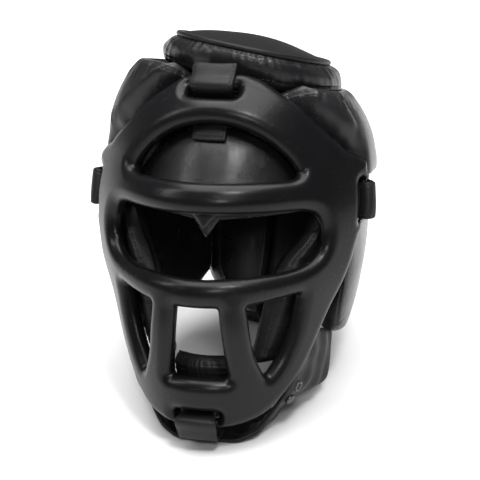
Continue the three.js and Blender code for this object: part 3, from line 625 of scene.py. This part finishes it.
def cageLoops():
    # every window, every slot and, last, the cage's own edge, all on the flattened cage
    loops = []
    for loop in windowLoops():
        dense = densify(loop, 2.0)
        loops.append(flatten(cageAngle(dense[:, 0], dense[:, 1]), dense[:, 1]))
    left, right, *others = slots["temple"]
    for hand in (-1, 1):
        slot = densify(slotLoop(hand * left, hand * right, *others), 1.0)
        loops.append(flatten(slot[:, 0], slot[:, 1]))
    border = np.linspace(-cage["sweep"], cage["sweep"], 150)
    edge = flatten(np.concatenate([border, border[::-1]]),
                   np.concatenate([cageLow(border), cageHigh(border[::-1])]))
    return loops + [densify(edge, 2.5)]


def faceCage():
    # a grid over the flattened cage, clipped at its edges and windows; each point is then
    # wrapped towards the edge so that the rims are half round
    look = cageLook
    nv = nu = look["cells"]
    turns = np.linspace(-cage["sweep"], cage["sweep"], nu)
    heights = np.linspace(look["low"], look["high"], nv)
    angle, z = [a.ravel() for a in np.meshgrid(turns, heights)]
    flat = flatten(angle, z)
    distances, insides = signedDistance(flat, cageLoops())
    nearest = distances.min(0)
    depth = np.where(insides[:-1].any(0) | ~insides[-1], -nearest, nearest)

    # the direction in which depth grows, and millimetres to a degree and to a unit of height
    across, up = flat.reshape(nv, nu, 2)[..., 0], flat.reshape(nv, nu, 2)[..., 1]
    acrossU, acrossV, upV = np.gradient(across, axis=1), np.gradient(across, axis=0), np.gradient(up, axis=0)
    grid = depth.reshape(nv, nu)
    depthU, depthV = np.gradient(grid, axis=1), np.gradient(grid, axis=0)
    slopeU = depthU / acrossU
    slope = unit(np.stack([slopeU.ravel(), ((depthV - slopeU * acrossV) / upV).ravel()], axis=-1))
    unflatten = np.stack([acrossU.ravel() / (turns[1] - turns[0]),
                          upV.ravel() / (heights[1] - heights[0])], -1)

    # points close to an edge move onto it before the grid is clipped
    snap = np.abs(depth) < look["snap"]
    move = -slope * depth[:, None] / unflatten
    angle, z = angle + np.where(snap, move[:, 0], 0), z + np.where(snap, move[:, 1], 0)
    depth = np.where(snap, 0, depth)
    quads = gridFaces(nv, nu)
    faces, pairs, share = clipTriangles(np.concatenate([quads[:, [0, 1, 2]], quads[:, [0, 2, 3]]]), depth)

    def extended(values):
        first, second = values[pairs[:, 0]], values[pairs[:, 1]]
        return np.concatenate([values, first + share * (second - first)])

    angle, z, depth = extended(angle), extended(z), np.maximum(extended(depth), 0)
    slope = unit(np.stack([extended(slope[:, 0]), extended(slope[:, 1])], -1))
    unflatten = np.stack([extended(unflatten[:, 0]), extended(unflatten[:, 1])], -1)
    used = np.unique(faces)
    index = np.zeros(len(angle), int)
    index[used] = np.arange(len(used))
    faces = index[faces]
    angle, z, depth, slope, unflatten = (a[used] for a in (angle, z, depth, slope, unflatten))

    around = np.minimum(depth / look["rim"], 1) * np.pi / 2
    shift = np.minimum(depth, look["rim"]) - look["rim"] * (1 - np.cos(around))
    angle = angle - slope[:, 0] * shift / unflatten[:, 0]
    z = z - slope[:, 1] * shift / unflatten[:, 1]
    lift = look["half"] * np.sin(around)
    dome = look["crown"] * (smooth(depth / look["crownReach"]) - look["crownSunk"])
    out = cageOut(angle, z)
    middle = cageFace(angle, z) - out * look["half"]
    outer, inner = middle + out * (lift + dome * np.sin(around))[:, None], middle - out * lift[:, None]
    return makePiece("faceCageShell", np.concatenate([outer, inner]), [faces, faces[:, ::-1] + len(outer)],
                     cagePlastic, "face_cage")


faceCage()

# The padded guard.
sideLook = {"thickness": 20.0, "radius": 9.0, "drop": 3.0, "pucker": 0.45, "pitch": 11.0, "lumps": 0.7,
            "raised": 4.0, "fill": 0.8, "seed": 1.0}
rearLook = dict(sideLook, pucker=0.6, pitch=10.0, raised=0.0)
panel = {"seam": 0.947, "seamTilt": 0.02, "seamGap": 0.006, "thinFrom": 0.7, "thinBy": 0.6}
# where a temple strap presses the side pad in: height, degrees round, and how deep
dent = {"height": 183.0, "half": 13.0, "fade": 6.0, "start": 62.0, "startFade": 8.0, "end": 112.0,
        "depth": 11.0}


def seamShare(turn):
    # the crown seam runs a little lower on the wearer's right
    return panel["seam"] + panel["seamTilt"] * np.sin(np.radians(turn))


def guardPanel(name, start, end, edges, hand, look, node, counts):
    # a panel from one angle to another and from its lower edge up to the crown seam,
    # thinner towards the seam, dented under the temple strap
    u, v = np.meshgrid(crowded(counts[0]), crowded(counts[1]))
    angle = mix(start, end, u)
    low = shareAtRise(tableValue(edges, "low", angle))
    t = mix(low, seamShare(hand * angle) - panel["seamGap"], v)
    base = padFace(hand * angle, t)
    thin = 1 - panel["thinBy"] * smooth((t - panel["thinFrom"]) / (1 - panel["thinFrom"]))
    level = 1 - smooth((np.abs(base[..., 2] - dent["height"]) - dent["half"]) / dent["fade"])
    strapped = (level * smooth((angle - dent["start"]) / dent["startFade"])
                * (1 - smooth((angle - dent["end"]) / dent["fade"])))
    look = dict(look, thickness=look["thickness"] * thin, pressed=dent["depth"] * strapped,
                seed=look["seed"] + (0.7 if hand > 0 else 0))
    return pillow(name, base, padOut(hand * angle, t), look, padLeather, node)


for hand, word in ((1, "left"), (-1, "right")):
    guardPanel("sidePad_" + word, 0.0, pads["notch"], sideEdges, hand, sideLook,
               "side_pad_" + word, (200, 130))
    guardPanel("rearPad_" + word, pads["notch"], 180.0, rearEdges, hand, rearLook,
               "rear_pad_" + word, (80, 130))

foreheadLook = {"thickness": 18.0, "radius": 8.0, "drop": 5.0, "pucker": 0.25, "pitch": 8.0, "lumps": 0.25,
                "seed": 2.2, "half": 47.0, "low": 179.0, "tip": 15.0, "tipHalf": 8.0, "under": 12.0,
                "spread": 1.35, "behind": 4.0}
cheekLook = {"thickness": 18.0, "radius": 8.0, "drop": 4.0, "pucker": 0.4, "pitch": 8.0, "lumps": 0.5,
             "seed": 3.0, "low": 56.5, "high": 176.0, "behind": 1.0}
cheekEdges = {"at": [0.2, 0.28, 0.38, 0.45, 0.5, 0.55, 0.6, 0.63], "front": [33, 35, 36, 36, 38, 43, 46, 47],
              "rear": [47, 51, 54, 56.5, 56.5, 55, 52.5, 51]}
chinLook = {"thickness": 14.0, "radius": 6.0, "drop": 3.0, "pucker": 0.4, "pitch": 6.0, "lumps": 0.3,
            "seed": 5.0, "half": 26.0, "low": 32.0, "high": 64.0, "behind": 4.4}


def cageCushion(name, angle, z, look, material, node):
    # a cushion a given distance behind the cage's wall
    base = cageInset(angle, z, cage["wall"] + look["behind"])
    return pillow(name, base, cageOut(angle, z), look, material, node)


def foreheadPad():
    # its lower edge has a small point in the middle, its upper edge follows the side pads'
    look = foreheadLook
    u, v = np.meshgrid(crowded(140), crowded(80))
    angle = mix(-look["half"], look["half"], u)
    low = look["low"] - look["tip"] * np.maximum(0, 1 - np.abs(angle) / look["tipHalf"])
    high = pads["crown"] * tableValue(sideEdges, "low", np.abs(angle) * look["spread"]) - look["under"]
    return cageCushion("foreheadCushion", angle, mix(low, high, v), look, padLeather, "forehead_pad")


def cheekPad(hand, word):
    u, v = np.meshgrid(crowded(60), crowded(110))
    z = mix(cheekLook["low"], cheekLook["high"], v)
    front, rear = (tableValue(cheekEdges, key, z / cage["height"]) for key in ("front", "rear"))
    look = dict(cheekLook, seed=cheekLook["seed"] + hand)
    return cageCushion("cheekCushion_" + word, hand * mix(front, rear, u), z, look, innerLeather,
                       "cheek_pad_" + word)


def chinPad():
    look = chinLook
    u, v = np.meshgrid(crowded(90), crowded(50))
    angle, z = mix(-look["half"], look["half"], u), mix(look["low"], look["high"], v)
    return cageCushion("chinCushion", angle, z, look, innerLeather, "chin_pad")


foreheadPad()
cheekPad(1, "left")
cheekPad(-1, "right")
chinPad()
print("pads made")

# The crown.
crown = {"halfWidth": 59.0, "halfLength": 68.0, "shift": 5.7, "bulge": 12.0, "dome": 10.5, "piping": 2.2,
         "seamHalf": 70.0, "seamFront": 66.0, "seamRear": 93.0, "seamDrop": 19.0, "frontDrop": 4.0,
         "wall": 5.0, "edge": 1.005, "edgeLift": 0.5, "edgeDepth": -10.0, "pleat": 0.9, "girth": 34.0}
disc = {"base": 2.3, "flat": 0.9, "roll": 0.095, "rollDrop": 4.5, "topRows": 26, "rollRows": 8,
        "under": ([0.993, 0.98, 0.6, 0.02], [-5.0, -7.4, -7.4, -7.4]), "ripple": 0.35}


def discPoint(angle, share, lift):
    # an oval about the crown's middle, at a share of its size and a lift over the crown
    turn = np.radians(angle)
    x = crown["shift"] + crown["halfWidth"] * share * np.sin(turn)
    y = padMiddle - crown["halfLength"] * share * np.cos(turn)
    return np.stack([x, y, pads["crown"] + lift + crownTip(x, y, pads["crown"])], axis=-1)


def crownBand():
    # a full curve from the crown seam to the disc, gathered into pleats, closed inside
    count, rows = 720, 34
    angle = np.arange(count) * 360 / count
    way = np.radians(np.where(angle > 180, angle - 360, angle))
    deep = np.where(np.cos(way) > 0, crown["seamFront"], crown["seamRear"])

    def ringAt(inset, drop):
        x = pads["shift"] + (crown["seamHalf"] - inset) * np.sin(way)
        y = padMiddle - (deep - inset) * np.cos(way)
        return np.stack([x, y, pads["crown"] - drop + crownTip(x, y, pads["crown"])], axis=-1)

    seamDrop = crown["seamDrop"] + crown["frontDrop"] * smooth(np.cos(way))
    seam, under = ringAt(0, seamDrop), ringAt(crown["wall"], seamDrop + 3)
    rim = discPoint(angle, crown["edge"], crown["edgeLift"])
    inside = discPoint(angle, crown["edge"], crown["edgeDepth"])
    out = unit(np.stack([np.sin(way), -np.cos(way), np.full(count, 0.8)], axis=-1))
    w = np.linspace(0, 1, rows)[:, None, None]
    middle = mix(seam, rim, 0.4) + out * crown["bulge"]
    curve = (1 - w) ** 2 * seam + 2 * w * (1 - w) * middle + w * w * rim
    share, run = w[..., 0], angle * 1.1
    pleats = (ripple(run, 13.0, 0.6) * np.exp(-share * 3.0)
              + ripple(run, 10.0, 2.1) * np.exp(-(1 - share) * 4.0))
    folds = 0.9 * np.maximum(0, np.sin(run / 19 + 4 * share + 1.3 * np.sin(run / 41))) ** 3
    shape = np.sin(np.pi * np.clip(share, 0, 1)) ** 0.7
    curve = curve + out * ((crown["pleat"] * pleats - folds) * shape)[..., None]
    back = np.stack([mix(rim, inside, k) for k in (0.35, 1)] + [mix(inside, under, k) for k in (0.5, 1)])
    ring = np.concatenate([curve, back])
    length = np.minimum(share, 1 - share) * crown["girth"]
    edge = np.concatenate([np.broadcast_to(length, (rows, count)), np.zeros((len(back), count))])
    values = {"edge": edge, "run": np.broadcast_to(run, edge.shape)}
    return makePiece("crownGathers", ring, [closedFaces(len(ring), count)], padLeather, "crown_band",
                     values)


def topDisc():
    # a domed round pad: its top, its rolled edge and its flat underside
    count, top, end = 240, disc["topRows"], disc["topRows"] + disc["rollRows"]
    angle = np.arange(count) * 360 / count
    roll = np.linspace(0.1, np.pi / 2, disc["rollRows"])
    underShares, underLifts = disc["under"]
    shares = np.concatenate([np.linspace(0.02, disc["flat"], top), disc["flat"] + disc["roll"] * np.sin(roll),
                             underShares])
    lifts = disc["base"] + crown["dome"] * (1 - shares ** 2)
    lifts[top:end] -= disc["rollDrop"] * (1 - np.cos(roll))
    lifts[end:] = underLifts
    grid = np.stack([discPoint(angle, s, h) for s, h in zip(shares, lifts)])
    wave = np.sin(grid[:top, :, 0] / 9 + np.sin(grid[:top, :, 1] / 13))
    grid[:top, :, 2] += disc["ripple"] * wave * (1 - shares[:top, None] ** 4)
    n = len(shares)
    faces = [gridFaces(n, count, wrapU=True), np.arange(count)[None, ::-1],
             (np.arange(count) + (n - 1) * count)[None]]
    return makePiece("topDisc", grid, faces, discLeather, "top_pad")


def discPiping(count=300, sides=10):
    # rings of a radius square to the disc's edge
    path = discPoint(np.arange(count) * 360 / count, 1.0, crown["piping"])
    ahead = unit(np.roll(path, -1, axis=0) - np.roll(path, 1, axis=0))
    side = unit(np.cross(ahead, np.array([0.0, 0.13, 1.0])))
    turn = np.linspace(0, 2 * np.pi, sides, endpoint=False)[:, None, None]
    ring = path[None] + crown["piping"] * (np.cos(turn) * side + np.sin(turn) * np.cross(side, ahead))
    return makePiece("discPiping", ring.transpose(1, 0, 2), [closedFaces(count, sides)], strapLeather,
                     None)


crownBand()
topDisc()
discPiping()
print("crown made")

# The straps.
straps = {"thickness": 3.0, "lift": 2.3, "top": 34.0, "topMiddle": -4.0, "topSlot": 267.5, "chin": 31.0,
          "chinMiddle": -2.0, "chinSlot": 24.0, "temple": 28.0, "rear": 46.0, "rearHeight": 140.0,
          "patch": 40.0, "patchThickness": 1.2}


def spline(points, count):
    # cubic through points, timed by the square roots of their spacings
    gaps = np.sqrt(np.linalg.norm(np.diff(points, axis=0), axis=-1))
    at = np.concatenate([[0], np.cumsum(gaps)])
    tangent = np.gradient(points, at, axis=0)
    q = np.linspace(0, at[-1], count)
    i = np.clip(np.searchsorted(at, q, side="right") - 1, 0, len(at) - 2)
    span = (at[i + 1] - at[i])[:, None]
    t = ((q - at[i])[:, None]) / span
    return hermite(t, span, points[i], points[i + 1], tangent[i], tangent[i + 1])


def ribbon(name, pathAt, width, node, thickness=straps["thickness"], count=150, wobble=0.25, seed=0.0,
           material=strapLeather):
    # a strap between two skins about its path; its long edges are rolled
    rows = np.stack([spline(pathAt(v), count) for v in crowded(15, 0.5)])
    out = gridNormals(rows)
    distances = runU, runV, edgeU, edgeV = edgeDistances(rows)
    full = roundOff(edgeV + 0.02, thickness * 0.55) * roundOff(edgeU + 0.02, thickness * 0.55)
    full[0], full[-1], full[:, 0], full[:, -1] = 0, 0, 0, 0
    wave = wobble * (np.sin(runU / 6 + seed) * np.sin(np.pi * runV / width)
                     + 0.5 * np.sin(runU / 2.7 + runV / 5))
    outer = rows + out * (thickness / 2 * full + wave)[..., None]
    inner = rows - out * (thickness / 2 * full - wave)[..., None]
    points, faces, values = twoSkins(outer, inner, distances)
    return makePiece(name, points, faces, material, node, values)


def topTab(v):
    # from the crown over the cage's arch, through its slot and down behind it
    x = straps["topMiddle"] + straps["top"] * (v - 0.5)
    lift, behind, slot = straps["lift"], cage["wall"] + straps["lift"], straps["topSlot"]
    edge = float(cageHigh(0.0))
    start = padInset(np.degrees(np.arcsin(x / pads["halfWidth"])), 0.985, -lift)
    over = cageUnder(x, edge + 1, -lift - 0.5)
    stations = [((edge + slot) / 2, -lift), (slot + 1.5, -lift - 0.5), (slot, 3.5), (slot, 10.5),
                (slot - 1.5, behind + 0.5), (254, behind), (238, behind)]
    return np.stack([start, (start + over) / 2, over] + [cageUnder(x, z, depth) for z, depth in stations])


def chinTab(v):
    # from behind the chin panel through its slot, down its front and back under it
    x = straps["chinMiddle"] + straps["chin"] * (v - 0.5)
    lift, behind, slot = straps["lift"], cage["wall"] + straps["lift"], straps["chinSlot"]
    low = float(cageLow(0.0))
    bottom = cageUnder(x, low, 0.0)
    turned = [bottom * [1, 1, 0] + [0, back, low - drop - lift] for back, drop in ((2, 4), (9, 6), (22, 3))]
    stations = [(41.0, behind), (32.0, behind), (slot + 1.5, behind + 0.5), (slot, 10.5), (slot, 3.5),
                (slot - 1.5, -lift - 0.5), (low + 2, -lift)]
    return np.stack([cageUnder(x, z, depth) for z, depth in stations] + turned)


def templeStrap(hand):
    # out of the cage's slot, back over its edge and along the dent in the side pad
    def path(v):
        z = dent["height"] + straps["temple"] * (v - 0.5)
        share, lift = shareAtRise(z / pads["crown"]), straps["lift"]
        overCage = [(60.5, 8.4), (61.2, -lift + 1), (63.4, -lift), (65.3, -0.8)]
        overPad = [(94.0, 5), (100.0, 5), (106.0, 4.5), (112.0, 3)]
        return np.stack([cageInset(hand * angle, z, depth) for angle, depth in overCage]
                        + [padInset(hand * angle, share, depth) for angle, depth in overPad])
    return path


def backShare(width, v):
    return shareAtRise((straps["rearHeight"] + width * (v - 0.5)) / pads["crown"])


def rearStrap(v):
    # straight across the back, over both rear pads
    turns = np.arange(-32.0, 33.0, 8.0)
    share = np.full(len(turns), backShare(straps["rear"], v))
    return padInset(np.where(turns < 0, 180 + turns, turns - 180), share, -straps["lift"])


def loopPatch(v):
    # the fuzzy half of the closure, on the pad under the strap's free end
    turns = -180 + np.array([26.0, 29.0, 32.0, 35.0, 37.0])
    return padInset(turns, np.full(len(turns), backShare(straps["patch"], v)), -0.6)


ribbon("topTab", topTab, straps["top"], "top_tab_strap", seed=1.0)
ribbon("chinTab", chinTab, straps["chin"], "chin_tab_strap", seed=2.0)
ribbon("templeBand_left", templeStrap(1), straps["temple"], "temple_strap_left", seed=3.0)
ribbon("templeBand_right", templeStrap(-1), straps["temple"], "temple_strap_right", seed=4.0)
ribbon("rearBand", rearStrap, straps["rear"], "rear_strap", seed=5.0)
ribbon("loopPatch", loopPatch, straps["patch"], None, thickness=straps["patchThickness"], count=40, wobble=0,
       material=discLeather)

# The jaw strap.
jaw = {"halfWidth": 62.0, "rise": 70.0, "reach": 93.0, "thickness": 3.5, "droop": 9.0}
jawSections = {"at": [0, 0.3, 0.55, 0.75, 0.9, 1], "inner": [0, 0.34, 0.58, 0.8, 1.0, 1.2],
               "outer": [0, 0.34, 0.62, 0.92, 1.26, 1.34], "rise": [-0.04, -0.03, 0.05, 0.31, 0.62, 1.25],
               "front": [0.92, 0.91, 0.86, 0.78, 0.76, 0.6], "rear": [0.5, 0.46, 0.36, 0.2, 0.1, 0.16]}


jawCrease = {"height": 0.9, "start": 0.1, "fade": 0.3, "edge": 4.0}


def jawPoint(s, w):
    # a sling from one side pad to the other, its two edges given at each share of its length
    at = np.abs(s)

    def between(first, second):
        return mix(tableValue(jawSections, first, at), tableValue(jawSections, second, at), w)

    x = np.sign(s) * jaw["halfWidth"] * between("inner", "outer")
    y = -jaw["reach"] * between("front", "rear")
    level = (y + jaw["reach"]) * math.tan(rest["lean"]) * (1 - smooth(at))
    droop = jaw["droop"] * w * smooth((at - 0.7) / 0.3)
    return np.stack([x, headCentre + y, jaw["rise"] * tableValue(jawSections, "rise", at) + level - droop], axis=-1)


def jawStrap():
    # two skins about the sling; its lowest part is flat where it rests
    s, w = np.meshgrid(np.linspace(-1, 1, 240), crowded(60, 0.4))
    at = np.abs(s)
    grid = jawPoint(s, w)
    out = gridNormals(grid)
    out = out * np.where((out[..., 2:] * (1 - at[..., None]) - out[..., :1] * s[..., None]) > 0, -1, 1)
    distances = runU, runV, edgeU, edgeV = edgeDistances(grid)
    half = jaw["thickness"] / 2
    full = roundOff(edgeV, 1.8) * roundOff(edgeU, 1.8)
    waves = (0.8 * np.sin(runV / 3.1 + runU / 9 + 1.5 * np.sin(runU / 14))
             + 0.6 * np.sin(runU / 4.3 + 2 * np.sin(runV / 8)))
    fade = smooth((at - jawCrease["start"]) / jawCrease["fade"]) * np.minimum(edgeV / jawCrease["edge"], 1)
    creases = jawCrease["height"] * waves * fade
    outer = grid + out * (creases - half * (1 - full))[..., None]
    inner = grid + out * (creases - half * (1 + full))[..., None]
    outer[..., 2] += np.maximum(0.1 - toRest(outer)[..., 2] * 1000, 0)
    inner[..., 2] += np.maximum(1.5 - toRest(inner)[..., 2] * 1000, 0) * full
    points, faces, values = twoSkins(outer, inner, distances)
    return makePiece("jawSling", points, faces, strapLeather, "chin_strap", values)


# place along and across the strap, and the radius and height of each ring
snaps = {
    "jawStud": (0.84, 0.16, [(0.4, -0.5), (4.2, -0.5), (4.2, 0.9), (3.6, 1.7), (2.2, 2.3), (0.4, 2.5)]),
    "jawEyelet": (0.9, 0.18, [(2.2, -0.5), (4.6, -0.5), (4.6, 0.7), (4.0, 1.3), (3.0, 1.3), (2.2, 0.8)])}


def jawHardware(sides=40):
    # a snap stud and an eyelet on the wearer's left end of the jaw strap, turned shapes that
    # stand square to it
    for name, (s, w, profile) in snaps.items():
        centre, along, across = (jawPoint(np.array(a), np.array(b))
                                 for a, b in ((s, w), (s + 0.01, w), (s, w + 0.05)))
        out = unit(np.cross(along - centre, across - centre))
        out = out if out[0] > 0 else -out
        side = unit(np.cross(out, np.array([0.0, 0.3, 1.0])))
        turn = np.linspace(0, 2 * np.pi, sides, endpoint=False)[:, None]
        ring = np.cos(turn) * side + np.sin(turn) * np.cross(out, side)
        points = np.stack([centre + radius * ring + (0.9 + height) * out for radius, height in profile])
        makePiece(name, points, [closedFaces(len(profile), sides)], snapMetal, None)


jawStrap()
jawHardware()
print("straps made")

# The floor, the light and the camera.
# half size, and how far under the part the floor lies, in metres
ground = {"half": 4, "under": 0.0002}
floorMesh = bpy.data.meshes.new("floor")
floorMesh.from_pydata([(x * ground["half"], y * ground["half"], -ground["under"])
                       for x, y in ((-1, -1), (1, -1), (1, 1), (-1, 1))], [], [(0, 1, 2, 3)])
floorLook = newMaterial("floorLook", {"Roughness": 0.9, "Base Color": (0.82, 0.82, 0.82, 1)})[0]
floorMesh.materials.append(floorLook)
placed("floor", floorMesh)

world = bpy.data.worlds.new("studio")
world.use_nodes = True
background = world.node_tree.nodes["Background"].inputs
background["Color"].default_value = (1, 1, 1, 1)
background["Strength"].default_value = 0.16
bpy.context.scene.world = world
bpy.context.scene.view_settings.view_transform = "Standard"


def areaLight(name, place, target, size, power):
    data = bpy.data.lights.new(name, "AREA")
    data.shape, data.size, data.size_y, data.energy = "RECTANGLE", size[0], size[1], power
    light = placed(name, data)
    light.location = place
    light.rotation_euler = (Vector(target) - Vector(place)).to_track_quat("-Z", "Y").to_euler()


areaLight("ceiling", (0, 0.5, 2.4), (0, 0.5, 0), (2.6, 2.6), 125)
areaLight("frontSoft", (0.45, -1.5, 1.25), (0, -0.05, 0.2), (0.2, 0.2), 7)
areaLight("rightSoft", (0.7, -0.8, 2.0), (0, 0, 0.2), (0.35, 0.35), 20)
areaLight("leftSoft", (-1.3, -0.5, 1.3), (0, 0, 0.15), (0.3, 0.8), 7)

view = {"around": math.radians(14.9), "up": math.radians(12.0), "roll": math.radians(0.7), "distance": 1267.0,
        "target": np.array([0, 0, 110.4]), "lens": 119.97, "sensor": 36, "aside": 7.37, "above": 33.9}


def setCamera():
    # the photograph's viewpoint, found in the upright frame, then leaned back with the guard
    a, e = view["around"], view["up"]
    away = np.array([math.sin(a) * math.cos(e), -math.cos(a) * math.cos(e), math.sin(e)])
    right = np.array([math.cos(a), math.sin(a), 0])
    above = np.array([-math.sin(a) * math.sin(e), math.cos(a) * math.sin(e), math.cos(e)])
    place = view["target"] + view["distance"] * away
    aim = view["target"] + view["aside"] * right + view["above"] * above
    c, s = math.cos(view["roll"]), math.sin(view["roll"])
    eye, spot, top = toRest(place), toRest(aim), toRest(place + (-s * right + c * above) * 100)
    back = unit(eye - spot)
    side = unit(np.cross(unit(top - eye), back))
    up = np.cross(back, side)
    data = bpy.data.cameras.new("camera")
    data.lens, data.sensor_width = view["lens"], view["sensor"]
    camera = placed("camera", data)
    camera.matrix_world = Matrix([*np.stack([side, up, back, eye], axis=1).tolist(), [0, 0, 0, 1]])
    bpy.context.scene.camera = camera


setCamera()
print("scene ready")
